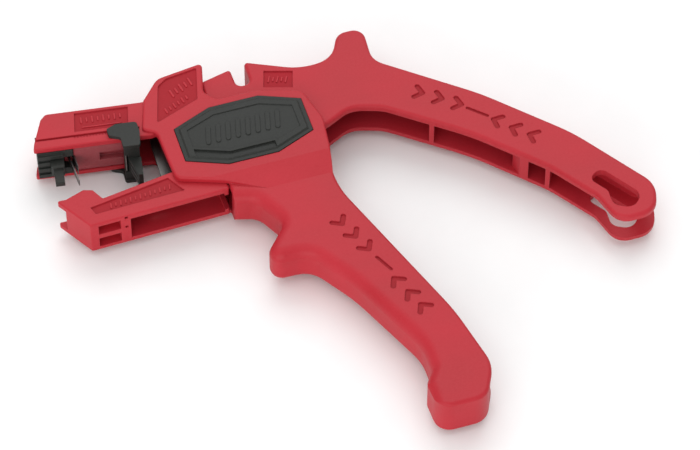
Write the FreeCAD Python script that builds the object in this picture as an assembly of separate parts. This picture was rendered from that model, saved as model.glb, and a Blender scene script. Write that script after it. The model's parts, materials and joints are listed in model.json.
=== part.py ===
import FreeCAD, Part
import math
import os
from FreeCAD import Placement, Rotation, Vector

# Automatic wire stripper, lying on its side.
# Frame: +Z is up through the thickness, the origin is on the main pivot at the outer face
# of the lower cover, and +X runs from the jaw tips back along the pivot platform.
# The body holds the upper jaw and the lower handle.  The upper handle turns on the main
# pivot, closes the lower jaw through a cam pin, and pulls both blade carriers back.

os.makedirs("parts", exist_ok=True)

# ---- driving dimensions, mm ----
BODY_T = 18.0            # thickness over the two cheeks of the pivot platform
UPPER_JAW_T = 15.8       # thickness of the upper jaw
LOWER_JAW_T = 13.6       # thickness of the lower jaw
LOWER_HANDLE_T = 14.4    # thickness of the lower handle
UPPER_HANDLE_T = 13.4    # thickness of the upper handle
WALL = 2.0               # wall of the jaws
HANDLE_WALL = 2.4        # wall of the handles
SIDE_GAP = 0.2           # clearance between a moving moulding and the cheeks beside it
FIT = 0.06               # radial clearance of a pin in a bore that turns on it
SLIDE_GAP = 0.25         # clearance round a sliding block
EDGE_R = 1.2             # rounding of the handles' outer edges
ROLL_R = 3.9             # rounding of the lower handle's front, where the fingers lie
PLATFORM_EDGE_R = 0.8    # rounding of the platform's rim
JAW_EDGE_R = 0.5         # rounding of the jaws' outer edges

COVER_PROUD = 0.8        # height of a cover's flange over the cheek
COVER_SEAT = 0.9         # depth of the seat that a cover sits in
COVER_GAP = 0.15         # clearance round a cover in its seat
COVER_LENGTH = 42.4      # cover, corner to corner along X
COVER_WIDTH = 23.8       # cover across Y
COVER_CORNER = (8.3, 6.7)  # where a cover's long and short sides meet its slanted ones
PANEL_INSET = 1.2        # flat flange round a cover's raised panel
PANEL_RISE = 0.55        # height of the raised panel
CLIP_T = 0.5             # thickness of a retaining ring
RING_R = (4.6, 3.4, 2.1)  # outer radii of the rings on the main, jaw pivot and anchor pins
RING_ROOM = 0.2          # clearance over and round a ring under its cover

MARK_DEPTH = 0.5         # depth of the sunk fields and of the grip marks
MARK_W = 1.7             # width of a chevron's arms
MARK_ARM = 3.2           # length of a chevron's arm
MARK_SPREAD = 44         # half angle of a chevron, degrees
DASH_W = 1.1             # width of the dash between the chevrons

PIN_R = 3.0              # main pivot pin
JAW_PIN_R = 2.0          # jaw pivot pin
ANCHOR_PIN_R = 1.25      # anchor pin of the cutter and the return spring
CAM_PIN_R = 1.5          # cam pin in the tail of the lower jaw
PULL_PIN_R = 1.5         # pin that pulls the rods
SMALL_PIN_R = 1.0        # carrier and lower pull pins

SQUEEZE_DEG = 24.0       # travel of the upper handle
JAW_DEG = 10.5           # travel of the lower jaw
LOWER_STROKE = 6.8       # travel of the lower blade carrier in its jaw
STOP_TRAVEL = 9.0        # travel of the length stop towards the tip

Z_MID = BODY_T / 2 + COVER_PROUD
MAIN_PIVOT = (0.0, 0.0)
JAW_PIVOT = (-13.5, -5.0)
ANCHOR = (8.2, RING_R[2] + RING_ROOM - COVER_WIDTH / 2)
CAM_PIN = (0.0, -12.0)
PULL_RADIUS = 13.3       # from the main pivot to the pull pin

# Upper jaw frame: origin at the lower front corner of the jaw, x back along the jaw.
UPPER_ORIGIN = (-66.2, 13.0)
UPPER_ANGLE = -8.0
UPPER_JAW_H = 14.0
# Lower jaw frame: origin at the bottom front corner, x back along the underside.
LOWER_ORIGIN = (-56.6, -20.9)
LOWER_ANGLE = 1.5

# Half thicknesses of the layers stacked about the middle plane.
BLADE_HALF = 0.6         # cutter blade
FORK_HALF = 0.7          # pull fork
ROD_IN = 0.8
ROD_OUT = 1.7
PLATE_IN = 1.9
PLATE_OUT = 3.3
TAIL_IN = 3.6
TAIL_OUT = 5.4
HANDLE_HOLLOW_HALF = UPPER_HANDLE_T / 2 - HANDLE_WALL
CAVITY_HALF = UPPER_HANDLE_T / 2 + SIDE_GAP
JAW_HOLLOW_HALF = LOWER_JAW_T / 2 - WALL
CHANNEL_HALF = UPPER_JAW_T / 2 - WALL

PULL_STROKE = 2 * PULL_RADIUS * math.sin(math.radians(SQUEEZE_DEG / 2))


# ---- outline and solid helpers ----
def rounded_wire(corners):
    """Closed wire through corners (x, y, radius); each corner is an arc, limited by its sides."""
    count = len(corners)
    points = [Vector(c[0], c[1], 0) for c in corners]
    ends = []
    for i in range(count):
        before = points[i - 1] - points[i]
        after = points[(i + 1) % count] - points[i]
        radius = corners[i][2] if len(corners[i]) > 2 else 0
        turn = math.pi - before.getAngle(after)
        if radius <= 0 or turn < 1e-3:
            ends.append((points[i], None, points[i]))
            continue
        reach = min(radius * math.tan(turn / 2), 0.48 * before.Length, 0.48 * after.Length)
        radius = reach / math.tan(turn / 2)
        before.normalize()
        after.normalize()
        middle = before + after
        middle.normalize()
        gap = radius / math.cos(turn / 2) - radius
        ends.append((points[i] + before * reach, points[i] + middle * gap, points[i] + after * reach))
    edges = []
    for i in range(count):
        start, middle, stop = ends[i]
        if middle is not None:
            edges.append(Part.Arc(start, middle, stop).toShape())
        following = ends[(i + 1) % count][0]
        if (following - stop).Length > 1e-4:
            edges.append(Part.LineSegment(stop, following).toShape())
    return Part.Wire(edges)


def prism(corners, low, high):
    """Straight solid over an outline, between two heights measured from the middle plane."""
    face = Part.Face(rounded_wire(corners))
    solid = face.extrude(Vector(0, 0, high - low))
    solid.translate(Vector(0, 0, Z_MID + low))
    return solid


def slab(corners, half):
    return prism(corners, -half, half)


def soft_slab(corners, half, edge):
    """Slab whose top and bottom rims are rounded."""
    solid = slab(corners, half)
    rims = []
    for item in solid.Edges:
        box = item.BoundBox
        if box.ZLength < 1e-6:
            rims.append(item)
    return solid.makeFillet(edge, rims)


def disc(centre, radius, low, high):
    return Part.makeCylinder(radius, high - low, Vector(centre[0], centre[1], Z_MID + low))


def pin(centre, radius, half):
    return disc(centre, radius, -half, half)


def box(x0, x1, y0, y1, low, high):
    return Part.makeBox(x1 - x0, y1 - y0, high - low, Vector(x0, y0, Z_MID + low))


def link(start, end, width_radius, low, high):
    """Flat bar with round ends between two points."""
    a = Vector(start[0], start[1], 0)
    b = Vector(end[0], end[1], 0)
    along = (b - a).normalize()
    side = Vector(-along.y, along.x, 0) * width_radius
    corners = [a + side, b + side, b - side, a - side]
    bar = Part.Face(Part.makePolygon(corners + [corners[0]])).extrude(Vector(0, 0, high - low))
    bar.translate(Vector(0, 0, Z_MID + low))
    return fuse([bar, disc(start, width_radius, low, high), disc(end, width_radius, low, high)])


def both_sides(maker, inner, outer):
    """The same piece made above and below the middle plane."""
    return [maker(inner, outer), maker(-outer, -inner)]


def fuse(shapes):
    result = shapes[0].multiFuse(shapes[1:]) if len(shapes) > 1 else shapes[0]
    return result.removeSplitter()


def cut(shape, tools):
    return shape.cut(tools)


def placed(shape, origin, angle):
    copy = shape.copy()
    frame = Placement(Vector(origin[0], origin[1], 0), Rotation(Vector(0, 0, 1), angle))
    copy.Placement = frame.multiply(copy.Placement)
    return copy


def in_upper_jaw(shape):
    return placed(shape, UPPER_ORIGIN, UPPER_ANGLE)


def in_lower_jaw(shape):
    return placed(shape, LOWER_ORIGIN, LOWER_ANGLE)


def to_tool(origin, angle, point):
    c = math.cos(math.radians(angle))
    s = math.sin(math.radians(angle))
    return (origin[0] + point[0] * c - point[1] * s, origin[1] + point[0] * s + point[1] * c)


def to_frame(origin, angle, point):
    c = math.cos(math.radians(angle))
    s = math.sin(math.radians(angle))
    dx = point[0] - origin[0]
    dy = point[1] - origin[1]
    return (dx * c + dy * s, -dx * s + dy * c)


def turned(point, centre, clockwise_deg):
    a = math.radians(clockwise_deg)
    dx = point[0] - centre[0]
    dy = point[1] - centre[1]
    return (centre[0] + dx * math.cos(a) + dy * math.sin(a), centre[1] - dx * math.sin(a) + dy * math.cos(a))


def chevron(tip, angle, arm, spread, width, low, high):
    """V-shaped groove cutter with its tip at a point, opening away from the angle."""
    arms = []
    for side in (1, -1):
        direction = math.radians(angle + 180 + side * spread)
        end = (tip[0] + arm * math.cos(direction), tip[1] + arm * math.sin(direction))
        arms.append(link(tip, end, width / 2, low, high))
    return fuse(arms)


def save(name, shapes):
    shape = Part.makeCompound(shapes) if isinstance(shapes, list) else shapes
    shape.exportStep("parts/" + name + ".step")


# ---- the body moulding ----
def cover_outline(inset):
    """Eight-sided outline of a cover, drawn in evenly."""
    x = COVER_LENGTH / 2 - inset
    y = COVER_WIDTH / 2 - inset
    corner_x = COVER_CORNER[0] - 0.2 * inset
    corner_y = COVER_CORNER[1] - 0.6 * inset
    return [(-x, -corner_y), (-corner_x, -y), (corner_x, -y), (x, -corner_y),
            (x, corner_y), (corner_x, y), (-corner_x, y), (-x, corner_y)]


PLATFORM = [
    (-27.4, 21.5, 0), (-20.9, 28.8, 5), (-5.0, 30.9, 1.2), (-7.9, 19.0, 2.5), (-4.6, 15.0, 2),
    (8.4, 14.8, 6), (22.6, 10.4, 4), (25.9, -2.5, 9), (24.6, -14.0, 14), (22.4, -24.6, 0),
    (3.0, -24.6, 6), (-11.0, -17.6, 5), (-26.0, -12.2, 3), (-26.9, 7.4, 3), (-31.0, 10.0, 1.2)]

UPPER_JAW = [
    (0, 0, 0.5), (0.6, 3.0, 0), (3.6, 12.0, 1), (5.4, UPPER_JAW_H, 1.5), (37.8, UPPER_JAW_H, 4),
    (44.5, 21.2, 0), (50, 20, 0), (50, 4, 0), (38, 0, 0)]

HANDLE_FRONT = [
    (-10.2, -12.0, 0), (-10.2, -23.9, 1.3), (-3.4, -25.9, 6), (2.3, -36.8, 4), (-9.8, -50.4, 4.3),
    (6.6, -50.9, 8), (16.2, -65.5, 60), (29.2, -95.0, 30), (29.0, -104.5, 3),
    (25.9, -109.5, 4), (26.4, -120.2, 6)]
HANDLE_BACK = [
    (42.0, -120.2, 6), (47.4, -109.0, 12), (42.6, -86.0, 80), (21.6, -26.5, 45), (25.6, -8.0, 0),
    (12.0, -4.0, 0)]
LOWER_HANDLE = HANDLE_FRONT + HANDLE_BACK
# The same front with its back moved out, so that only the front takes the wide rounding.
HANDLE_ROLL = [(-30.0, -18.1, 0)] + HANDLE_FRONT[2:-2] + [
    (25.4, -109.5, 0), (25.4, -130.0, 0), (70.0, -130.0, 0), (70.0, 10.0, 0), (-30.0, 10.0, 0)]

# Channel inside the lower handle, open towards the other handle.
LOWER_CHANNEL = [
    (12.5, -23.5, 2), (9.0, -37.0, 4), (6.0, -44.5, 4), (12.5, -52.0, 6), (20.5, -66.0, 40),
    (33.2, -96.0, 20), (31.5, -112.5, 3), (40.0, -116.0, 3), (60.0, -112.0, 0), (60.0, -32.0, 0),
    (30.0, -25.0, 0)]

# Space between the cheeks for the roots of the upper handle and the lower jaw.
CAVITY = [
    (-60.0, -40.0, 0), (-10.2, -40.0, 0), (-10.2, -13.4, 0), (6.0, -13.4, 1), (13.5, -18.0, 2),
    (40.0, -25.0, 0), (40.0, 45.0, 0), (-8.5, 45.0, 0), (-8.5, 8.3, 1), (-26.0, 8.3, 1),
    (-33.0, 6.0, 0), (-60.0, 6.0, 0)]

# Room below the cavity for the swing of the lower jaw's tail.
TAIL_ROOM = [
    (-10.4, -13.0, 0), (-10.4, -21.0, 0), (-4.0, -21.0, 1), (-4.0, -18.2, 0), (7.0, -18.2, 1), (7.0, -13.0, 0)]
TEXT_FIELD = [
    (-18.0, 27.8, 1.5), (-7.4, 29.2, 0.4), (-10.6, 16.6, 0.8), (-25.6, 11.0, 0.4), (-21.4, 25.5, 2)]

RIB_T = 1.6
LOWER_RIBS = [((4.0, -48.0), (24.5, -42.0)), ((16.0, -72.0), (35.5, -66.0)), ((24.0, -96.0), (45.0, -93.0))]
SLOPE_TOP_Y = -15.3      # ridge where the platform starts to slope down to the handle
SLOPE_END_Y = -23.6      # foot of the slope, at the handle's level


def slope_cutter():
    """Wedge above a plane that falls from the platform's face to the handle's."""
    top = Z_MID + BODY_T / 2
    low = Z_MID + LOWER_HANDLE_T / 2
    fall = (low - top) / (SLOPE_END_Y - SLOPE_TOP_Y)
    end_y = 2 * SLOPE_END_Y
    corners = []
    end_z = top + fall * (end_y - SLOPE_TOP_Y)
    for y, z in ((SLOPE_TOP_Y, top), (SLOPE_TOP_Y, top + 5), (end_y, top + 5), (end_y, end_z)):
        corners.append(Vector(-COVER_LENGTH, y, z))
    corners.append(corners[0])
    return Part.Face(Part.makePolygon(corners)).extrude(Vector(2 * COVER_LENGTH, 0, 0))


def lower_handle_solid():
    """Lower handle with a small rounding all round and a wide one along its front."""
    half = LOWER_HANDLE_T / 2
    crisp = soft_slab(LOWER_HANDLE, half, EDGE_R)
    rolled = soft_slab(HANDLE_ROLL, half, ROLL_R)
    return crisp.common(rolled)


def grip_marks(tips, angle, half):
    """Chevron grooves, on both faces of a handle."""
    tools = []
    for tip in tips:
        for low, high in ((half - MARK_DEPTH, half + 1), (-half - 1, -half + MARK_DEPTH)):
            tools.append(chevron(tip, angle, MARK_ARM, MARK_SPREAD, MARK_W, low, high))
    return tools


def dash_marks(start, end, half):
    layers = ((half - MARK_DEPTH, half + 1), (-half - 1, -half + MARK_DEPTH))
    return [link(start, end, DASH_W / 2, low, high) for low, high in layers]


def face_recess(corners, half):
    """Shallow sunk field on both faces."""
    return [prism(corners, half - MARK_DEPTH, half + 1), prism(corners, -half - 1, -half + MARK_DEPTH)]


def main_body():
    half = BODY_T / 2
    slope = slope_cutter()
    slopes = [slope, slope.mirror(Vector(0, 0, Z_MID), Vector(0, 0, 1))]
    platform = cut(soft_slab(PLATFORM, half, PLATFORM_EDGE_R), slopes)
    jaw = in_upper_jaw(soft_slab(UPPER_JAW, UPPER_JAW_T / 2, JAW_EDGE_R))
    handle = lower_handle_solid()
    body = fuse([platform, jaw, handle])

    tools = [slab(CAVITY, CAVITY_HALF)]
    tools.append(slab(TAIL_ROOM, TAIL_OUT + SIDE_GAP))
    channel_half = LOWER_HANDLE_T / 2 - WALL
    tools.append(slab(LOWER_CHANNEL, channel_half))
    tools.extend(upper_jaw_tools())
    for low, high in ((half - COVER_SEAT, half + 2), (-half - 2, -half + COVER_SEAT)):
        tools.append(prism(cover_outline(-COVER_GAP), low, high))
    tools.append(pin(MAIN_PIVOT, PIN_R, half + 1))
    tools.append(pin(JAW_PIVOT, JAW_PIN_R, half + 1))
    tools.append(pin(ANCHOR, ANCHOR_PIN_R, half + 1))
    tools.extend(face_recess(TEXT_FIELD, half))
    tools.extend(grip_marks([(19.2, -44.3), (21.7, -50.3), (24.2, -56.3)], -70, LOWER_HANDLE_T / 2))
    tools.extend(grip_marks([(28.3, -69.3), (30.9, -75.4), (33.2, -81.3)], 112, LOWER_HANDLE_T / 2))
    tools.extend(dash_marks((25.7, -60.0), (28.5, -65.7), LOWER_HANDLE_T / 2))
    body = cut(body, tools)

    ribs = []
    for start, end in LOWER_RIBS:
        rib = link(start, end, RIB_T / 2, -channel_half, channel_half)
        ribs.append(rib.common(handle))
    return fuse([body] + ribs)


TRACK_V = 3.6            # height of the stop's track above the jaw's lower edge
TRACK_W = 0.9
TRACK_DEPTH = 0.8
TRACK_END = 34.6         # back end of the track; the stop travels forward from here
NOTCH_COUNT = int(STOP_TRAVEL) + 2  # notches that the stop's catch drops into
NOTCH_START = 13.4
NOTCH_PITCH = 1.0
NOTCH_W = 0.5
BLOCK_LENGTH = 12.4      # front pocket that holds the clamp block
POCKET_ROOF = 6.5
CHANNEL_ROOF = 11.9      # top of the channel that the blade carrier runs in
CHANNEL_END = 41.0
CARRIER_END = 33.5
SCALE_FIELD = [(14.6, 12.8, 0), (32.0, 12.8, 0), (31.2, 5.2, 0), (13.9, 5.2, 0)]


def upper_jaw_tools():
    """Channel, front pocket, track and scale field of the upper jaw, and the rods' passage."""
    half = UPPER_JAW_T / 2
    tools = [box(-1, BLOCK_LENGTH, -1, POCKET_ROOF, -CHANNEL_HALF, CHANNEL_HALF)]
    tools.append(box(BLOCK_LENGTH - 0.1, CHANNEL_END, -1, CHANNEL_ROOF, -CHANNEL_HALF, CHANNEL_HALF))
    rod_room = ROD_HALF_W + 1.2
    tools.append(box(CHANNEL_END - 1, 62, ROD_V - rod_room, ROD_V + rod_room, -PLATE_OUT, PLATE_OUT))
    tools.append(box(36, 50, -8, 13, -FORK_HALF - 0.5, FORK_HALF + 0.5))
    low_v = TRACK_V - TRACK_W / 2
    for low, high in ((half - TRACK_DEPTH, half + 1), (-half - 1, -half + TRACK_DEPTH)):
        tools.append(box(-1, TRACK_END, low_v, low_v + TRACK_W, low, high))
        for i in range(NOTCH_COUNT):
            start = NOTCH_START + i * NOTCH_PITCH
            tools.append(box(start, start + NOTCH_W, low_v - NOTCH_W, TRACK_V, low, high))
    tools.extend(face_recess(SCALE_FIELD, half))
    return [in_upper_jaw(tool) for tool in tools]


# ---- covers, pins and rings ----
# Pry slot at the foot of a cover's raised panel.
PRY_SLOT = [
    (-17.6, -3.4, 0), (-6.6, -7.7, 0), (8.2, -7.7, 0), (8.2, -10.2, 0), (-7.2, -10.2, 0), (-17.6, -6.2, 0)]


RELIEF_INSET = 3.6       # sunk field on the panel, with raised bars in it
RELIEF_DEPTH = 0.3
RELIEF_BARS = 8
RELIEF_PITCH = 3.3


def relief_cutter(top):
    """Sunk field less a row of slanted bars, which stay level with the panel."""
    field = prism(cover_outline(RELIEF_INSET), top - RELIEF_DEPTH, top + 1)
    bars = []
    for i in range(RELIEF_BARS):
        x = (i - (RELIEF_BARS - 1) / 2) * RELIEF_PITCH
        bars.append(link((x - 0.7, -2.2), (x + 0.7, 3.6), 0.75, top - 1, top + 2))
    margin = slab(PRY_SLOT, BODY_T).makeOffsetShape(0.8, 0.01)
    return cut(field, bars + [margin])


def covers():
    """The two covers: a flange in the platform's seat, a raised panel and room for the rings."""
    half = BODY_T / 2
    seat = half - COVER_SEAT
    top = half + COVER_PROUD
    flange = top - PANEL_RISE
    base = prism(cover_outline(0), seat, flange)
    panel = prism(cover_outline(PANEL_INSET), flange - 0.01, top)
    rims = [e for e in panel.Edges if e.BoundBox.ZMin > Z_MID + top - 0.01]
    panel = panel.makeChamfer(PANEL_RISE - 0.05, rims)
    room = seat + CLIP_T + RING_ROOM
    tools = [prism(PRY_SLOT, top - PANEL_RISE - 0.2, top + 1), relief_cutter(top)]
    for centre, radius in zip((MAIN_PIVOT, JAW_PIVOT, ANCHOR), RING_R):
        tools.append(disc(centre, radius + RING_ROOM, seat - 0.1, room))
    upper = cut(fuse([base, panel]), tools)
    lower = upper.mirror(Vector(0, 0, Z_MID), Vector(0, 0, 1))
    return upper, lower


def ring(centre, inner, outer, low, high):
    return cut(disc(centre, outer, low, high), [disc(centre, inner, low - 1, high + 1)])


def pin_clips():
    seat = BODY_T / 2 - COVER_SEAT
    rings = []
    places = ((MAIN_PIVOT, PIN_R), (JAW_PIVOT, JAW_PIN_R), (ANCHOR, ANCHOR_PIN_R))
    for (centre, inner), outer in zip(places, RING_R):
        rings.append(ring(centre, inner, outer, seat, seat + CLIP_T))
        rings.append(ring(centre, inner, outer, -seat - CLIP_T, -seat))
    return rings


def through_pin(centre, radius):
    return pin(centre, radius, BODY_T / 2 - COVER_SEAT + CLIP_T + 0.15)


# ---- the upper handle ----
UPPER_HANDLE = [
    (-7.5, 25.0, 0.8), (3.4, 27.5, 0.9), (3.6, 19.8, 2.2), (8.2, 19.8, 2.2), (8.4, 29.2, 1.0),
    (25.5, 21.1, 20), (36.4, 22.0, 9), (41.0, 31.5, 4.5), (49.9, 31.5, 5), (48.9, 17.4, 7),
    (78.0, -6.4, 80), (101.0, -30.5, 60), (119.4, -58.0, 9), (116.0, -68.6, 7), (103.2, -68.6, 6),
    (99.8, -57.0, 7), (89.5, -42.0, 30), (70.0, -21.4, 90), (46.0, -2.6, 14), (36.0, 0.6, 9),
    (25.6, -4.6, 9), (9.0, -3.2, 2), (-7.5, -3.2, 0)]
UPPER_HOLLOW = [
    (-20.0, -12.0, 0), (-20.0, 17.0, 0), (2.0, 17.2, 0), (11.5, 17.2, 1), (12.6, 23.4, 2),
    (25.0, 17.6, 12), (38.0, 18.8, 8), (42.6, 28.6, 3), (47.4, 28.6, 3), (46.6, 15.6, 5),
    (76.0, -8.4, 80), (98.8, -32.0, 60), (113.8, -53.5, 6), (125.0, -60.5, 0), (112.0, -80.0, 0),
    (60.0, -40.0, 0), (20.0, -20.0, 0)]
HANDLE_HUB_R = 7.2
TAIL_R = 2.9
HANG_SLOT = [
    (104.4, -47.2, 2.6), (113.6, -60.8, 3.6), (109.4, -65.6, 3.8), (103.4, -62.4, 3.4), (103.8, -56.6, 3),
    (99.6, -50.4, 2.2)]
UPPER_RIBS = [((56.5, -20.0), (64.0, -1.0)), ((84.0, -50.0), (95.0, -31.0)), ((82.0, -30.0), (86.0, -48.0))]
DRIVE_RIVET = (15.0, 3.6)
DRIVE_RIVET_R = 1.5
CUTTER_R = (17.8, 24.2)  # swept by the cutter blade about the main pivot


def cutter_slot():
    """Slot in the upper handle that the fixed cutter passes through as the handle turns."""
    gap = BLADE_HALF + 0.3
    swept = ring(MAIN_PIVOT, CUTTER_R[0] - 1.0, CUTTER_R[1] + 0.6, -gap, gap)
    return swept.common(box(-9, 22, 5, 30, -gap, gap))


def upper_handle():
    half = UPPER_HANDLE_T / 2
    handle = soft_slab(UPPER_HANDLE, half, EDGE_R)
    handle = fuse([handle, disc(MAIN_PIVOT, HANDLE_HUB_R, -half, half)])
    tools = [slab(UPPER_HOLLOW, HANDLE_HOLLOW_HALF), cutter_slot(), slab(HANG_SLOT, half + 1)]
    tools.append(pin(MAIN_PIVOT, PIN_R + FIT, half + 1))
    tools.extend(face_recess([(13.6, 23.2, 0), (22.6, 20.4, 0), (20.6, 13.8, 0), (11.6, 16.6, 0)], half))
    tools.extend(grip_marks([(60.0, -1.1), (65.3, -5.2), (70.5, -9.4)], -32, half))
    tools.extend(grip_marks([(78.4, -18.3), (82.8, -23.2), (87.4, -27.6)], 138, half))
    tools.extend(dash_marks((71.9, -11.4), (77.0, -16.3), half))
    handle = cut(handle, tools)
    added = []
    for start, end in UPPER_RIBS:
        rib = link(start, end, RIB_T / 2, -HANDLE_HOLLOW_HALF, HANDLE_HOLLOW_HALF)
        added.append(rib.common(slab(UPPER_HANDLE, HANDLE_HOLLOW_HALF)))
    added.extend(both_sides(lambda a, b: disc(DRIVE_RIVET, 2.8, a, b), PLATE_OUT, HANDLE_HOLLOW_HALF + 0.1))
    handle = fuse([handle] + added)
    return cut(handle, [pin(DRIVE_RIVET, DRIVE_RIVET_R, half + 1)])


def drive_plates():
    pull = pull_point()

    def plate(low, high):
        crank = fuse([disc(MAIN_PIVOT, 6.6, low, high), link(MAIN_PIVOT, CAM_PIN, 3.0, low, high),
                      link(MAIN_PIVOT, pull, 3.0, low, high), link(MAIN_PIVOT, DRIVE_RIVET, 3.0, low, high)])
        holes = [disc(MAIN_PIVOT, PIN_R + FIT, low - 1, high + 1), disc(CAM_PIN, CAM_PIN_R, low - 1, high + 1),
                 disc(pull, PULL_PIN_R, low - 1, high + 1), disc(DRIVE_RIVET, DRIVE_RIVET_R, low - 1, high + 1)]
        return cut(crank, holes)

    return both_sides(plate, PLATE_IN, PLATE_OUT)


def pull_point():
    """Place of the pull pin at rest: its swing is even about the square to the upper jaw."""
    angle = math.radians(90 + UPPER_ANGLE + SQUEEZE_DEG / 2)
    return (PULL_RADIUS * math.cos(angle), PULL_RADIUS * math.sin(angle))


def cutter_blade():
    """Fixed blade: a ring on the main pin, a tail on the anchor pin and the cutting arm."""
    edge = 9.0
    arm = [(3.5, 2.0, 0), (edge, 18.6, 1), (edge, 22.4, 0), (14.6, 19.2, 0), (15.2, 15.0, 2), (6.0, 0.5, 0)]
    blade = fuse([disc(MAIN_PIVOT, 5.6, -BLADE_HALF, BLADE_HALF), slab(arm, BLADE_HALF),
                  link(MAIN_PIVOT, ANCHOR, 2.6, -BLADE_HALF, BLADE_HALF)])
    return cut(blade, [pin(MAIN_PIVOT, PIN_R, 5), pin(ANCHOR, ANCHOR_PIN_R, 5)])


# ---- the lower jaw ----
LOWER_JAW = [
    (0, 0, 0.5), (46.0, 0, 0.6), (46.0, 14.4, 0), (40.5, 21.5, 0), (38.0, 15.5, 1), (33.5, 12.7, 0),
    (6.9, 9.4, 0.4), (4.8, 13.6, 0.6), (2.0, 14.6, 0.3), (-4.3, 12.7, 0), (-7.4, 12.9, 0.5)]
LOWER_HOLLOW_START = 13.2
LOWER_HOLLOW_END = 44.4
LOWER_ROOF = 8.3         # roof of the jaw's hollow
HUB_R = 5.6


def lower_jaw():
    half = LOWER_JAW_T / 2
    jaw = in_lower_jaw(soft_slab(LOWER_JAW, half, JAW_EDGE_R))
    hub = pin(JAW_PIVOT, HUB_R, half)
    tail = both_sides(lambda a, b: link(JAW_PIVOT, CAM_PIN, TAIL_R, a, b), TAIL_IN, TAIL_OUT)
    jaw = fuse([jaw, hub])
    local = [box(LOWER_HOLLOW_START, LOWER_HOLLOW_END, -1, LOWER_ROOF, -JAW_HOLLOW_HALF, JAW_HOLLOW_HALF)]
    local.append(box(30.0, 60.0, -1, 30, -TAIL_IN, TAIL_IN))
    local.append(box(22.0, 60.0, -1, 30, -ROD_OUT - 0.5, ROD_OUT + 0.5))
    local.append(box(0.8, 14.0, 4.4, LOWER_ROOF, -4.6, 4.6))
    local.append(box(1.4, 11.0, 8.0, 20, -1.7, 1.7))
    local.append(box(-9, 0.4, 9.4, 20, -LOWER_BLOCK_HALF, LOWER_BLOCK_HALF))
    for low, high in ((1.0, 5.2), (-5.2, -1.0)):
        local.append(box(2.6, 9.9, -1, 3.2, low, high))
    for z in (5.4, 0.8):
        local.append(box(11.3, 12.3, -1, 1.6, z, z + 1))
    local.extend(face_recess([(2.1, 6.9, 0), (28.8, 10.4, 0), (32.4, 3.9, 0), (3.0, 3.9, 0)], half))
    jaw = cut(jaw, [in_lower_jaw(tool) for tool in local])
    jaw = fuse([jaw] + tail)
    jaw = cut(jaw, [pin(JAW_PIVOT, JAW_PIN_R + FIT, half + 1)] + cam_slot())
    return jaw


def cam_slot():
    """Slot in the jaw's tail that follows the cam pin as the handle and the jaw turn together."""
    steps = 6
    path = []
    for i in range(steps + 1):
        share = i / steps
        point = turned(CAM_PIN, MAIN_PIVOT, SQUEEZE_DEG * share)
        path.append(turned(point, JAW_PIVOT, -JAW_DEG * share))
    radius = CAM_PIN_R + 0.15
    return [link(path[i], path[i + 1], radius, -TAIL_OUT - 1, TAIL_OUT + 1) for i in range(steps)]


# ---- blades, carriers and the pulling gear ----
ROD_V = 9.5              # height of the rods' axis above the upper jaw's lower edge
ROD_HALF_W = 2.0
FORK_U = 40.4            # fork's place along the upper jaw
LOWER_PIN = (30.6, 7.0)  # tail pin of the lower rods, in the lower jaw's frame
LOWER_SLIDE_V = (4.6, 8.1)    # bottom and top of the lower blade carrier
LOWER_SLIDE_HALF = 4.4
LOWER_SLIDE_PIN = (10.0, 6.5)
LOWER_SLIDE_PIN_R = 0.8
LOWER_ROD_V = (5.1, 7.9)      # bottom and top of the lower rods
LEAF_T = 0.6
NOSE_U = 9.7             # front of the carrier's nose, which holds the leaves
NOSE_HALF = 2.5
LOWER_LEAF = ((3.4, 5.4), (2.0, 14.9), 1.2)
UPPER_LEAVES = [((10.2, 5.6), (13.2, -9.5), 1.2), ((11.7, 5.6), (13.5, -4.1), 2.2)]


def upper_blade_carrier():
    width = CHANNEL_HALF - SLIDE_GAP
    start = BLOCK_LENGTH + SLIDE_GAP
    slide = box(start, CARRIER_END, 0.3, CHANNEL_ROOF - 0.3, -width, width)
    nose = box(NOSE_U, start + 1, 2.0, POCKET_ROOF - 0.3, -NOSE_HALF, NOSE_HALF)
    block = fuse([slide, nose])
    tools = [box(21.0, 29.0, -1, 2.2, -1.85, 1.85)]
    tools.extend(leaf(root, tip, half_width) for root, tip, half_width in UPPER_LEAVES)
    rod_room = ROD_HALF_W + 0.1
    for low, high in ((ROD_IN, ROD_OUT), (-ROD_OUT, -ROD_IN)):
        tools.append(box(26.0, CARRIER_END + 1, ROD_V - rod_room, ROD_V + rod_room, low, high))
    tools.append(pin((28.6, ROD_V), SMALL_PIN_R, 10))
    return in_upper_jaw(cut(block, tools))


def carrier_pin():
    return in_upper_jaw(pin((28.6, ROD_V), SMALL_PIN_R, CHANNEL_HALF - SLIDE_GAP))


def leaf(root, tip, half_width):
    """Thin spring leaf between two points, as wide as twice half_width."""
    a = Vector(root[0], root[1], 0)
    b = Vector(tip[0], tip[1], 0)
    along = (b - a).normalize()
    side = Vector(-along.y, along.x, 0) * (LEAF_T / 2)
    corners = [a + side, b + side * 0.5, b - side * 0.5, a - side]
    blade = Part.Face(Part.makePolygon(corners + [corners[0]])).extrude(Vector(0, 0, 2 * half_width))
    blade.translate(Vector(0, 0, Z_MID - half_width))
    return blade


def upper_blades():
    return [in_upper_jaw(leaf(root, tip, half_width)) for root, tip, half_width in UPPER_LEAVES]


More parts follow.
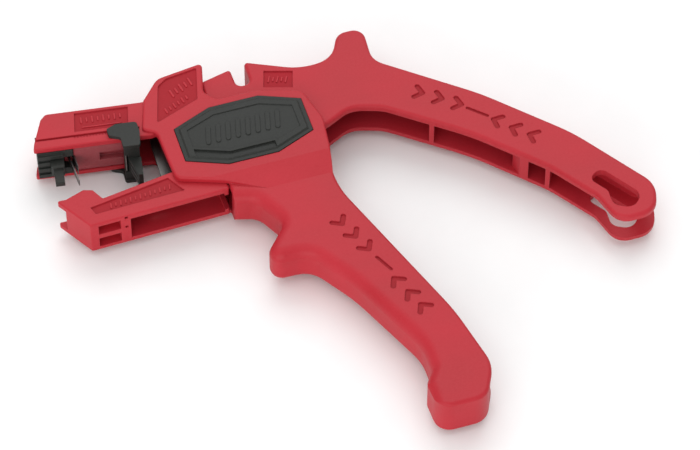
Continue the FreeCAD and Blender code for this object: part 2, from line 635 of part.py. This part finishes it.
def upper_pull_rods():
    pull = to_frame(UPPER_ORIGIN, UPPER_ANGLE, pull_point())

    def rod(low, high):
        bar = box(26.2, pull[0], ROD_V - ROD_HALF_W, ROD_V + ROD_HALF_W, low, high)
        bar = fuse([bar, link((pull[0], ROD_V - 0.4), (pull[0], ROD_V + 0.4), ROD_HALF_W + 0.4, low, high)])
        rise = PULL_RADIUS * (1 - math.cos(math.radians(SQUEEZE_DEG / 2)))
        bottom = (pull[0], pull[1] - 0.05)
        top = (pull[0], pull[1] + rise + 0.05)
        eye = link(bottom, top, PULL_PIN_R + 0.12, low - 1, high + 1)
        holes = [eye, disc((28.6, ROD_V), SMALL_PIN_R, low - 1, high + 1)]
        for offset in (-1.2, 1.2):
            holes.append(disc((FORK_U, ROD_V + offset), 0.6, low - 1, high + 1))
        return in_upper_jaw(cut(bar, holes))

    return both_sides(rod, ROD_IN, ROD_OUT)


def fork_slot_path():
    """Path of the lower tail pin seen from the fork, as the jaw turns and both slides run."""
    path = []
    steps = 4
    for i in range(steps + 1):
        share = i / steps
        local = (LOWER_PIN[0] + LOWER_STROKE * share, LOWER_PIN[1])
        point = turned(to_tool(LOWER_ORIGIN, LOWER_ANGLE, local), JAW_PIVOT, JAW_DEG * share)
        in_jaw = to_frame(UPPER_ORIGIN, UPPER_ANGLE, point)
        path.append((in_jaw[0] - PULL_STROKE * share, in_jaw[1]))
    return path


def pull_fork():
    """Central plate that hangs from the upper rods and pulls the lower rods by their pin."""
    path = fork_slot_path()
    low_end = min(p[1] for p in path)
    leg = [(FORK_U - 2.6, ROD_V + 2.3, 1), (FORK_U + 2.6, ROD_V + 2.3, 1), (FORK_U + 2.6, 2.0, 3),
           (path[0][0] + 2.7, low_end - 2.7, 2.6), (path[0][0] - 2.7, low_end - 2.7, 2.6),
           (FORK_U - 2.6, 2.0, 3)]
    plate = slab(leg, FORK_HALF)
    radius = SMALL_PIN_R + 0.12
    tools = [link(path[i], path[i + 1], radius, -5, 5) for i in range(len(path) - 1)]
    for offset in (-1.2, 1.2):
        tools.append(pin((FORK_U, ROD_V + offset), 0.6, 5))
    return in_upper_jaw(cut(plate, tools))


def fork_rivets():
    return [in_upper_jaw(pin((FORK_U, ROD_V + offset), 0.6, ROD_OUT + 0.15)) for offset in (-1.2, 1.2)]


def lower_blade_carrier():
    """Small slide in the lower jaw: a window for the leaf and two slots for the rods."""
    block = box(1.0, 12.0, LOWER_SLIDE_V[0], LOWER_SLIDE_V[1], -LOWER_SLIDE_HALF, LOWER_SLIDE_HALF)
    tools = [box(1.3, 4.6, 5.4, 9, -1.3, 1.3), leaf(*LOWER_LEAF)]
    for low, high in ((ROD_IN, ROD_OUT), (-ROD_OUT, -ROD_IN)):
        tools.append(box(8.0, 13, LOWER_ROD_V[0] - 0.1, LOWER_ROD_V[1] + 0.1, low, high))
    tools.append(pin(LOWER_SLIDE_PIN, LOWER_SLIDE_PIN_R, LOWER_SLIDE_HALF + 1))
    return in_lower_jaw(cut(block, tools))


def lower_carrier_pin():
    return in_lower_jaw(pin(LOWER_SLIDE_PIN, LOWER_SLIDE_PIN_R, LOWER_SLIDE_HALF))


def lower_blades():
    return in_lower_jaw(leaf(*LOWER_LEAF))


def lower_pull_rods():
    def rod(low, high):
        bar = box(8.1, LOWER_PIN[0], LOWER_ROD_V[0], LOWER_ROD_V[1], low, high)
        bar = fuse([bar, disc(LOWER_PIN, SMALL_PIN_R + 0.9, low, high)])
        holes = [disc(LOWER_PIN, SMALL_PIN_R, low - 1, high + 1)]
        holes.append(disc(LOWER_SLIDE_PIN, LOWER_SLIDE_PIN_R, low - 1, high + 1))
        return in_lower_jaw(cut(bar, holes))

    return both_sides(rod, ROD_IN, ROD_OUT)


def lower_pull_pin():
    return in_lower_jaw(pin(LOWER_PIN, SMALL_PIN_R, ROD_OUT + 0.3))


# ---- clamps and the wire guide ----
BLOCK_FRONT = 1.0        # front of the clamp block, behind the jaw's tip
RIDGE_PITCH = 3.0        # gripping ridges across both clamp blocks
RIDGE_W = 1.6
GUIDE = (5.0, 9.3)       # front and back of the wire guide's boss
GUIDE_HALF = 2.4
GUIDE_DROP = 3.8         # boss below the jaw
TAB_DROP = 9.0           # tab below the jaw


def upper_clamp_block():
    """Ridged block in the jaw's front pocket, holed for the guide and notched for the carrier."""
    block = box(BLOCK_FRONT, BLOCK_LENGTH, -0.4, POCKET_ROOF, -CHANNEL_HALF, CHANNEL_HALF)
    ridges = []
    for i in range(4):
        z = -CHANNEL_HALF + 0.2 + i * RIDGE_PITCH
        ridges.append(box(BLOCK_FRONT, GUIDE[1], -1.2, -0.3, z, z + RIDGE_W))
    tools = [box(GUIDE[0], GUIDE[1] + 0.1, -3, 1.0, -GUIDE_HALF, GUIDE_HALF)]
    tools.append(box(NOSE_U - 0.3, BLOCK_LENGTH + 1, -3, 8, -NOSE_HALF - 0.3, NOSE_HALF + 0.3))
    return in_upper_jaw(cut(fuse([block] + ridges), tools))


def wire_guide():
    """Chamfered boss below the clamp block, with a thin tab under it."""
    boss = box(GUIDE[0], GUIDE[1], -GUIDE_DROP, 1.0, -GUIDE_HALF, GUIDE_HALF)
    boss = boss.makeChamfer(0.5, [e for e in boss.Edges if e.BoundBox.YMax < -GUIDE_DROP + 0.1])
    tab = box(GUIDE[0] + 0.7, GUIDE[1] - 0.6, -TAB_DROP, -GUIDE_DROP + 0.1, -1.0, 1.0)
    return in_upper_jaw(fuse([boss, tab]))


LOWER_BLOCK = [(-4.4, 9.4, 0), (0.4, 9.4, 0), (0.4, 12.6, 0), (-3.4, 11.4, 0), (-4.6, 11.4, 0)]
LOWER_BLOCK_HALF = CHANNEL_HALF - 1.2


def lower_clamp_block():
    """Ridged block let into the tip of the lower jaw."""
    block = slab(LOWER_BLOCK, LOWER_BLOCK_HALF)
    grooves = []
    for i in range(3):
        z = -LOWER_BLOCK_HALF + RIDGE_W + i * RIDGE_PITCH
        grooves.append(box(-8, 1, 11.0, 14, z, z + RIDGE_PITCH - RIDGE_W))
    return in_lower_jaw(cut(block, grooves))


# ---- the length stop ----
STOP_PLATE_T = 1.4
STOP_CLEAR = 0.2
CLIP = [
    (24.0, 3.4, 0.6), (27.0, 5.0, 1), (33.8, 5.0, 1.2), (34.4, 1.0, 1), (33.9, -4.6, 0.8),
    (28.4, -4.6, 0.8), (28.0, -0.6, 1), (24.4, 0.8, 0.6)]
CLIP_RIB = (27.0, 33.0)  # rib of the clip that runs in the jaw's track
BRIDGE = (28.6, 33.6, -4.2, -1.2)
TONGUE = [
    (30.0, -1.3, 0), (32.2, -1.3, 0), (32.2, -4.2, 0), (33.9, -4.4, 0), (33.7, -11.6, 0.5),
    (32.2, -11.6, 0.5), (30.0, -4.6, 0)]
TONGUE_HALF = 3.0
SPRING_HALF = 4.0        # detent leaf of the clip


def length_stop():
    """Clip round the lower edge of the upper jaw, with a pointer on each face."""
    near = UPPER_JAW_T / 2 + STOP_CLEAR
    far = near + STOP_PLATE_T
    cheeks = [prism(CLIP, near, far), prism(CLIP, -far, -near)]
    bridge = box(*BRIDGE, -far + 0.1, far - 0.1)
    rib_inner = UPPER_JAW_T / 2 - TRACK_DEPTH + 0.25
    half_rib = TRACK_W / 2 - 0.15
    low = TRACK_V - half_rib
    high = TRACK_V + half_rib
    ribs = [box(*CLIP_RIB, low, high, rib_inner, near + 0.1)]
    ribs.append(box(*CLIP_RIB, low, high, -near - 0.1, -rib_inner))
    groove = box(BRIDGE[0] + 0.2, BRIDGE[0] + 1.2, -5, -1.8, -SPRING_HALF - 0.2, SPRING_HALF + 0.2)
    tools = [box(30.0, 32.2, -5, 0, -TONGUE_HALF, TONGUE_HALF), groove]
    return in_upper_jaw(cut(fuse(cheeks + [bridge] + ribs), tools))


def stop_plate():
    """Tongue that the wire's end meets, grooved down its front."""
    plate = slab(TONGUE, TONGUE_HALF)
    front = [(29.0, -4.6, 0), (30.5, -4.6, 0), (32.6, -12.4, 0), (29.0, -12.4, 0)]
    grooves = [prism(front, 0.7, 1.5), prism(front, -1.5, -0.7)]
    return in_upper_jaw(cut(plate, grooves))


def stop_spring():
    """Thin detent leaf held in the clip's front groove."""
    return in_upper_jaw(box(BRIDGE[0] + 0.2, BRIDGE[0] + 0.6, -4.0, -1.8, -SPRING_HALF, SPRING_HALF))


# ---- springs ----
SPRING_WIRE = 0.8
COIL_PITCH = 1.12        # pitch of a spring's coils over its wire


def coil(centre, radius, wire, low, turns, leg_ends):
    """Torsion spring: a round wire in a helix, with a bead and a straight leg at each end."""
    pitch = wire * COIL_PITCH
    helix = Part.makeHelix(pitch, pitch * turns, radius)
    profile = Part.Wire(Part.makeCircle(wire / 2, Vector(radius, 0, 0), Vector(0, 1, 0.05)))
    body = Part.Wire(helix.Edges).makePipeShell([profile], True, True)
    body.translate(Vector(centre[0], centre[1], Z_MID + low))
    legs = []
    for end, height in zip(leg_ends, (low, low + pitch * turns)):
        start = Vector(centre[0] + radius, centre[1], Z_MID + height)
        stop = Vector(end[0], end[1], Z_MID + height)
        legs.append(Part.makeCylinder(wire * 0.46, (stop - start).Length, start, stop - start))
        legs.append(Part.makeSphere(wire * 0.6, start))
    return fuse([body] + legs)


def handle_spring():
    return coil(ANCHOR, 2.6, SPRING_WIRE, -3.9, 3, [(11.8, -1.6), (11.4, -15.8)])


def jaw_spring():
    return coil(JAW_PIVOT, 3.0, SPRING_WIRE, -2.4, 5, [(-10.2, 2.0), (-10.8, -10.5)])


def main():
    top_cover, bottom_cover = covers()
    parts = {
        "main_body": main_body(),
        "cover_top": top_cover,
        "cover_bottom": bottom_cover,
        "main_pivot_pin": through_pin(MAIN_PIVOT, PIN_R),
        "jaw_pivot_pin": through_pin(JAW_PIVOT, JAW_PIN_R),
        "anchor_pin": through_pin(ANCHOR, ANCHOR_PIN_R),
        "pin_clips": pin_clips(),
        "upper_handle": upper_handle(),
        "drive_plates": drive_plates(),
        "drive_rivet": pin(DRIVE_RIVET, DRIVE_RIVET_R, UPPER_HANDLE_T / 2 - 0.1),
        "jaw_cam_pin": pin(CAM_PIN, CAM_PIN_R, TAIL_OUT),
        "pull_pin": pin(pull_point(), PULL_PIN_R, PLATE_OUT),
        "cutter_blade": cutter_blade(),
        "lower_jaw": lower_jaw(),
        "upper_blade_carrier": upper_blade_carrier(),
        "carrier_pin": carrier_pin(),
        "upper_blades": upper_blades(),
        "upper_pull_rods": upper_pull_rods(),
        "pull_fork": pull_fork(),
        "fork_rivets": fork_rivets(),
        "lower_blade_carrier": lower_blade_carrier(),
        "lower_carrier_pin": lower_carrier_pin(),
        "lower_blades": lower_blades(),
        "lower_pull_rods": lower_pull_rods(),
        "lower_pull_pin": lower_pull_pin(),
        "upper_clamp_block": upper_clamp_block(),
        "wire_guide": wire_guide(),
        "lower_clamp_block": lower_clamp_block(),
        "length_stop": length_stop(),
        "stop_plate": stop_plate(),
        "stop_spring": stop_spring(),
        "handle_spring": handle_spring(),
        "jaw_spring": jaw_spring(),
    }
    for name, shape in parts.items():
        save(name, shape)


main()
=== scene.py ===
import bmesh
import bpy
import json
import math
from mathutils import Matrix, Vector


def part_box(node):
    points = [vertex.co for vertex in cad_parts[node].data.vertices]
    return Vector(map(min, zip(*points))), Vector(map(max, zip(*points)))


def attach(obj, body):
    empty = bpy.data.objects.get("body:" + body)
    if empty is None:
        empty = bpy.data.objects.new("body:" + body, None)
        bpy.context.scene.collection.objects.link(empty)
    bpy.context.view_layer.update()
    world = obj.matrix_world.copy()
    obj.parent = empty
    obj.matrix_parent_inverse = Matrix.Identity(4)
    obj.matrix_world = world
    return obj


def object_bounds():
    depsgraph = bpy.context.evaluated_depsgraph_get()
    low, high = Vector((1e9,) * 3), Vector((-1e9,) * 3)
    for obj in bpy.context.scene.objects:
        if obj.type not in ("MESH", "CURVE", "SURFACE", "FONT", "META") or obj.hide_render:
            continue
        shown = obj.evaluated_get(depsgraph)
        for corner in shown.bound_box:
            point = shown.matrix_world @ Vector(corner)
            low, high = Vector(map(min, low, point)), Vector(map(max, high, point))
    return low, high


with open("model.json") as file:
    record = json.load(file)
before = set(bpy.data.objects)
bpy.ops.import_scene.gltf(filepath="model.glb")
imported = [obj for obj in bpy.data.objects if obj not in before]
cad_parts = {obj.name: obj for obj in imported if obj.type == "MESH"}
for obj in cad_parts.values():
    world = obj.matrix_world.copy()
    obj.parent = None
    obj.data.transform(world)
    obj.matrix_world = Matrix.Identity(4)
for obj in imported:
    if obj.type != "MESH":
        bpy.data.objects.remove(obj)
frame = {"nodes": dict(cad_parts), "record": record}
first_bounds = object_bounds()
scene = bpy.context.scene

# ---- where things are, in metres ----
MM = 0.001
FLOOR_Z = first_bounds[0][2]
FOCUS = Vector((0.02527, -0.03323, 0.0))      # point of the tool at the middle of the picture
EYE = Vector((-0.19515, -0.73231, 0.97270))
LENS = 195.43
SENSOR = 36.0
FLOOR_HALF = 3.0

BODY_LOW, BODY_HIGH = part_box("main_body")
MID_Z = (BODY_LOW.z + BODY_HIGH.z) / 2
SUNK = 0.5 * MM                               # depth of the sunk fields
SUNK_TOLERANCE = 0.03 * MM                    # how near a face must lie to that depth
FLAT_NORMAL = 0.99                            # least z of the normal of a flat face


def half_thickness(node):
    low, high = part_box(node)
    return (high.z - low.z) / 2


UPPER_JAW_HALF = 7.9 * MM
LOWER_HANDLE_HALF = 7.2 * MM
SUNK_FACES = {
    "main_body": (half_thickness("main_body"), UPPER_JAW_HALF, LOWER_HANDLE_HALF),
    "upper_handle": (half_thickness("upper_handle"),),
    "lower_jaw": (half_thickness("lower_jaw"),),
}


# ---- node helpers ----
MIX_A, MIX_B, MIX_RESULT = 6, 7, 2            # colour sockets of a mix node
BEVEL_SAMPLES = 4
EDGE_RADIUS = 0.45 * MM                       # width of the band of painted edge highlight
EDGE_HIGHLIGHT_SHARE = 0.22                              # how much of the lighter colour an edge takes as a painted highlight
ROUND_RADIUS = 0.35 * MM                      # how far shading rounds a moulded edge


def new_material(name):
    material = bpy.data.materials.new(name)
    material.use_nodes = True
    tree = material.node_tree
    shader = tree.nodes["Principled BSDF"]
    return material, tree, shader


def add(tree, kind, **settings):
    node = tree.nodes.new(kind)
    for key, value in settings.items():
        setattr(node, key, value)
    return node


def noise(tree, scale, detail, stretch=None):
    """Noise laid on the object's own coordinates, optionally stretched into a grain."""
    coords = add(tree, "ShaderNodeTexCoord")
    texture = add(tree, "ShaderNodeTexNoise")
    texture.inputs["Scale"].default_value = scale
    texture.inputs["Detail"].default_value = detail
    if stretch:
        mapping = add(tree, "ShaderNodeMapping")
        mapping.inputs["Scale"].default_value = stretch
        tree.links.new(coords.outputs["Object"], mapping.inputs["Vector"])
        tree.links.new(mapping.outputs["Vector"], texture.inputs["Vector"])
    else:
        tree.links.new(coords.outputs["Object"], texture.inputs["Vector"])
    return texture.outputs["Fac"]


def ramp(tree, source, low, high, dark, light):
    """Grey values or colours between two places of a ramp."""
    node = add(tree, "ShaderNodeValToRGB")
    for stop, position, value in zip(node.color_ramp.elements, (low, high), (dark, light)):
        stop.position = position
        stop.color = (*value, 1) if isinstance(value, tuple) else (value, value, value, 1)
    tree.links.new(source, node.inputs["Fac"])
    return node.outputs["Color"]


def spread(tree, source, low, high):
    """The source's range 0.3 to 0.7 mapped to low to high."""
    node = add(tree, "ShaderNodeMapRange")
    node.inputs["From Min"].default_value = 0.3
    node.inputs["From Max"].default_value = 0.7
    node.inputs["To Min"].default_value = low
    node.inputs["To Max"].default_value = high
    tree.links.new(source, node.inputs["Value"])
    return node.outputs["Result"]


def mix(tree, factor, a, b):
    node = add(tree, "ShaderNodeMix", data_type="RGBA")
    tree.links.new(factor, node.inputs["Factor"])
    for value, socket in ((a, node.inputs[MIX_A]), (b, node.inputs[MIX_B])):
        if isinstance(value, tuple):
            socket.default_value = (*value, 1)
        else:
            tree.links.new(value, socket)
    return node.outputs[MIX_RESULT]


def edge_mask(tree, radius):
    """1 on edges, 0 on flats: how far the rounded normal turns from the true one."""
    bevel = add(tree, "ShaderNodeBevel", samples=BEVEL_SAMPLES)
    bevel.inputs["Radius"].default_value = radius
    geometry = add(tree, "ShaderNodeNewGeometry")
    dot = add(tree, "ShaderNodeVectorMath", operation="DOT_PRODUCT")
    tree.links.new(bevel.outputs["Normal"], dot.inputs[0])
    tree.links.new(geometry.outputs["Normal"], dot.inputs[1])
    return ramp(tree, dot.outputs["Value"], 0.80, 0.995, 1.0, 0.0)


def bump(tree, shader, heights, bevel_radius):
    """Stacked bumps over a slightly rounded normal; heights holds (value, distance in metres)."""
    bevel = add(tree, "ShaderNodeBevel", samples=BEVEL_SAMPLES)
    bevel.inputs["Radius"].default_value = bevel_radius
    normal = bevel.outputs["Normal"]
    for value, distance in heights:
        node = add(tree, "ShaderNodeBump")
        node.inputs["Distance"].default_value = distance
        node.inputs["Strength"].default_value = 1.0
        tree.links.new(value, node.inputs["Height"])
        tree.links.new(normal, node.inputs["Normal"])
        normal = node.outputs["Normal"]
    tree.links.new(normal, shader.inputs["Normal"])


# ---- materials ----
def moulded_plastic(name, base, dark, speck_and_highlight, rough, spark_depth):
    """Injection moulded plastic: spark-eroded skin, flow mottling, and edges lightened by a painted
    highlight.
    """
    material, tree, shader = new_material(name)
    flow = noise(tree, 38.0, 4.0, stretch=(1.0, 1.6, 2.2))
    specks = noise(tree, 1400.0, 3.0)
    skin = noise(tree, 2600.0, 2.0)
    colour = ramp(tree, flow, 0.32, 0.70, dark, base)
    tinted = mix(tree, spread(tree, specks, 0.0, 0.10), colour, speck_and_highlight)
    # Painted highlight: every edge is lightened towards the lighter colour, which also tints the specks.
    edges = add(tree, "ShaderNodeMath", operation="MULTIPLY")
    edges.inputs[1].default_value = EDGE_HIGHLIGHT_SHARE
    tree.links.new(edge_mask(tree, EDGE_RADIUS), edges.inputs[0])
    tree.links.new(mix(tree, edges.outputs["Value"], tinted, speck_and_highlight), shader.inputs["Base Color"])
    tree.links.new(spread(tree, flow, rough - 0.05, rough + 0.06), shader.inputs["Roughness"])
    shader.inputs["Specular IOR Level"].default_value = 0.25
    bump(tree, shader, [(skin, spark_depth), (flow, 0.10 * MM)], ROUND_RADIUS)
    return material


def ground_steel(name, colour, rough, stretch):
    """Steel with fine parallel grinding lines and small stains."""
    material, tree, shader = new_material(name)
    lines = noise(tree, 900.0, 3.0, stretch=stretch)
    stains = noise(tree, 120.0, 4.0)
    darker = tuple(0.72 * c for c in colour)
    stain = spread(tree, stains, 0.0, 0.45)
    ground = ramp(tree, lines, 0.35, 0.65, darker, colour)
    tree.links.new(mix(tree, stain, ground, darker), shader.inputs["Base Color"])
    tree.links.new(spread(tree, lines, rough - 0.08, rough + 0.10), shader.inputs["Roughness"])
    shader.inputs["Metallic"].default_value = 1.0
    bump(tree, shader, [(lines, 0.010 * MM)], 0.10 * MM)
    return material


RED = (0.475, 0.021, 0.034)
RED_DARK = (0.420, 0.014, 0.024)
# Lighter red, used for the random specks and for the painted edge highlight.
RED_SPECK_AND_HIGHLIGHT = (0.60, 0.060, 0.075)
SUNK_RED = (0.380, 0.010, 0.020)
SUNK_DARK = (0.320, 0.007, 0.014)
# Greyed, darker red: a copy of the red plastic with painted shade and a painted reflection, for the upper
# blade carrier.
SHADED_SHEEN_RED = (0.330, 0.055, 0.066)
SHADED_SHEEN_RED_DARK = (0.270, 0.036, 0.046)
SHADED_SHEEN_RED_SPECK_AND_HIGHLIGHT = (0.46, 0.16, 0.17)
GREY = (0.023, 0.025, 0.022)
GREY_DARK = (0.017, 0.019, 0.017)
# Lighter grey, used for the random specks and for the painted edge highlight.
GREY_SPECK_AND_HIGHLIGHT = (0.075, 0.075, 0.070)

MATERIALS = {
    "sunk_red": moulded_plastic("sunk_red_moulding", SUNK_RED, SUNK_DARK, RED, 0.62, 0.000060),
    "red_shell": moulded_plastic("red_moulding", RED, RED_DARK, RED_SPECK_AND_HIGHLIGHT, 0.46, 0.000030),
    # Red plastic darkened and greyed as painted shade and painted reflection.
    "shaded_sheen_red": moulded_plastic("shaded_sheen_red_moulding", SHADED_SHEEN_RED, SHADED_SHEEN_RED_DARK, SHADED_SHEEN_RED_SPECK_AND_HIGHLIGHT, 0.24, 0.000010),
    "dark_plastic": moulded_plastic("dark_moulding", GREY, GREY_DARK, GREY_SPECK_AND_HIGHLIGHT, 0.50, 0.000035),
    "blade_steel": ground_steel("blade_steel", (0.16, 0.155, 0.15), 0.38, (6.0, 0.3, 1.0)),
    "spring_steel": ground_steel("spring_steel", (0.36, 0.35, 0.33), 0.36, (1.0, 1.0, 5.0)),
    "plated_steel": ground_steel("plated_steel", (0.34, 0.34, 0.33), 0.40, (1.0, 3.0, 1.0)),
}


def dress_cad_nodes():
    """Each CAD node gets the material of its slot in the record."""
    finish = {entry["node"]: entry["material_slot"] for entry in frame["record"]["subparts"]}
    for name, node in frame["nodes"].items():
        node.data.materials.clear()
        node.data.materials.append(MATERIALS[finish[name]])
    # The upper blade carrier takes the red copy with painted shade and painted reflection.
    frame["nodes"]["upper_blade_carrier"].data.materials[0] = MATERIALS["shaded_sheen_red"]
    for name, half_thicknesses in SUNK_FACES.items():
        dress_sunk_faces(frame["nodes"][name], half_thicknesses)


def dress_sunk_faces(node, half_thicknesses):
    """The floors of the sunk fields and grip marks are coarser and deeper in colour than the skin."""
    node.data.materials.append(MATERIALS["sunk_red"])
    levels = [half - SUNK for half in half_thicknesses]
    for polygon in node.data.polygons:
        if abs(polygon.normal.z) < FLAT_NORMAL:
            continue
        height = abs(polygon.center.z - MID_Z)
        if any(abs(height - level) < SUNK_TOLERANCE for level in levels):
            polygon.material_index = 1


# ---- moulded relief: rows of small bars in the sunk fields ----
BAR_RISE = 0.32 * MM
BAR_ROOT = 0.05 * MM                          # how far a bar is let into the field
BAR_CHAMFER = 0.16                            # in mm, off the length and the width at the top
UPPER_JAW_FRAME = ((-66.2, 13.0), -8.0)   # origin in mm and angle in degrees, as in the CAD
LOWER_JAW_FRAME = ((-56.6, -20.9), 1.5)
TOOL_FRAME = ((0.0, 0.0), 0.0)


def in_frame(place, x, y):
    """A point of a jaw's own frame, in metres in the tool's frame."""
    (origin_x, origin_y), degrees = place
    c = math.cos(math.radians(degrees))
    s = math.sin(math.radians(degrees))
    return ((origin_x + x * c - y * s) * MM, (origin_y + x * s + y * c) * MM)


def bar_outline(x, y, angle, length, width):
    """Stadium outline of one bar, in mm."""
    points = []
    for end in (1, -1):
        for step in range(5):
            turn = math.radians(-90 + 45 * step) + (0 if end > 0 else math.pi)
            along = end * (length - width) / 2 + math.cos(turn) * width / 2
            across = math.sin(turn) * width / 2
            c = math.cos(math.radians(angle))
            s = math.sin(math.radians(angle))
            points.append((x + along * c - across * s, y + along * s + across * c))
    return points


def relief(name, body, slot, place, half, bars):
    """Raised bars on the floor of a sunk field, on both faces; a bar is (x, y, angle, length, width)."""
    mesh = bmesh.new()
    for side in (1, -1):
        floor_z = MID_Z + side * (half - SUNK)
        for x, y, angle, length, width in bars:
            small = (length - BAR_CHAMFER, width - BAR_CHAMFER)
            rim = [in_frame(place, *point) for point in bar_outline(x, y, angle, length, width)]
            tip = [in_frame(place, *point) for point in bar_outline(x, y, angle, *small)]
            rings = []
            for outline, height in ((rim, -BAR_ROOT), (rim, BAR_RISE * 0.75), (tip, BAR_RISE)):
                rings.append([mesh.verts.new((px, py, floor_z + side * height)) for px, py in outline])
            for below, above in zip(rings, rings[1:]):
                for i in range(len(below)):
                    j = (i + 1) % len(below)
                    mesh.faces.new((below[i], below[j], above[j], above[i]))
            mesh.faces.new(rings[0][::-1])
            mesh.faces.new(rings[-1])
    bmesh.ops.recalc_face_normals(mesh, faces=mesh.faces)
    data = bpy.data.meshes.new(name)
    mesh.to_mesh(data)
    mesh.free()
    piece = bpy.data.objects.new(name, data)
    scene.collection.objects.link(piece)
    data.materials.append(MATERIALS[slot])
    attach(piece, body)


def row(x, y, angle, count, pitch, lengths, width, lean=90):
    """Bars set side by side along a line, standing at an angle to it; lengths repeat in turn."""
    c = math.cos(math.radians(angle))
    s = math.sin(math.radians(angle))
    bars = []
    for i in range(count):
        along = (i - (count - 1) / 2) * pitch
        bars.append((x + along * c, y + along * s, angle + lean, lengths[i % len(lengths)], width))
    return bars


def reliefs():
    gauge = row(-14.4, 23.0, 24, 5, 1.9, (3.4, 2.4), 0.7, 78)
    gauge += row(-17.6, 16.8, 24, 6, 1.7, (2.4, 1.7), 0.6, 78)
    relief("gauge_relief", "body", "red_shell", TOOL_FRAME, half_thickness("main_body"), gauge)
    relief("scale_relief", "body", "red_shell", UPPER_JAW_FRAME, UPPER_JAW_HALF,
           row(22.8, 9.8, 0, 8, 1.8, (2.6, 1.8), 0.6) + [(22.8, 6.9, 0, 13.0, 0.45)])
    relief("lower_jaw_relief", "jaw", "red_shell", LOWER_JAW_FRAME, half_thickness("lower_jaw"),
           row(18.4, 6.3, 3.5, 13, 1.65, (2.1, 1.5), 0.55, 76))
    relief("handle_relief", "moving_handle", "red_shell", TOOL_FRAME, half_thickness("upper_handle"),
           row(16.9, 18.7, -17, 5, 1.4, (2.8, 2.0), 0.55, 80))


# ---- floor, light and camera ----
def floor():
    """Pale flat floor under the tool."""
    mesh = bpy.data.meshes.new("floor")
    signs = ((-1, -1), (1, -1), (1, 1), (-1, 1))
    corners = [(x * FLOOR_HALF, y * FLOOR_HALF, FLOOR_Z) for x, y in signs]
    mesh.from_pydata(corners, [], [(0, 1, 2, 3)])
    plane = bpy.data.objects.new("floor", mesh)
    scene.collection.objects.link(plane)
    material, tree, shader = new_material("floor_paper")
    grain = noise(tree, 60.0, 3.0)
    tree.links.new(ramp(tree, grain, 0.3, 0.7, 0.93, 0.95), shader.inputs["Base Color"])
    tree.links.new(spread(tree, grain, 0.72, 0.80), shader.inputs["Roughness"])
    mesh.materials.append(material)


def area_light(name, place, size, power):
    lamp = bpy.data.lights.new(name, "AREA")
    lamp.shape = "RECTANGLE"
    lamp.size = size[0]
    lamp.size_y = size[1]
    lamp.energy = power
    holder = bpy.data.objects.new(name, lamp)
    holder.location = place
    holder.rotation_euler = (FOCUS - Vector(place)).to_track_quat("-Z", "Y").to_euler()
    scene.collection.objects.link(holder)


def lights():
    scene.view_settings.view_transform = "Standard"
    area_light("softbox_back", (0.35, 0.95, 1.25), (1.4, 1.0), 9.0)
    area_light("softbox_top", (-0.25, -0.1, 1.6), (1.8, 1.8), 6.5)
    area_light("fill_front", (-0.75, -1.2, 0.40), (1.6, 0.7), 9.0)
    world = bpy.data.worlds.new("studio")
    world.use_nodes = True
    background = world.node_tree.nodes["Background"]
    background.inputs["Color"].default_value = (1.0, 1.0, 1.0, 1.0)
    background.inputs["Strength"].default_value = 0.66
    scene.world = world


def camera():
    data = bpy.data.cameras.new("camera")
    data.lens = LENS
    data.sensor_width = SENSOR
    data.clip_end = 10.0
    holder = bpy.data.objects.new("camera", data)
    holder.location = EYE
    holder.rotation_euler = (FOCUS - EYE).to_track_quat("-Z", "Y").to_euler()
    scene.collection.objects.link(holder)
    scene.camera = holder


dress_cad_nodes()
reliefs()
floor()
lights()
camera()
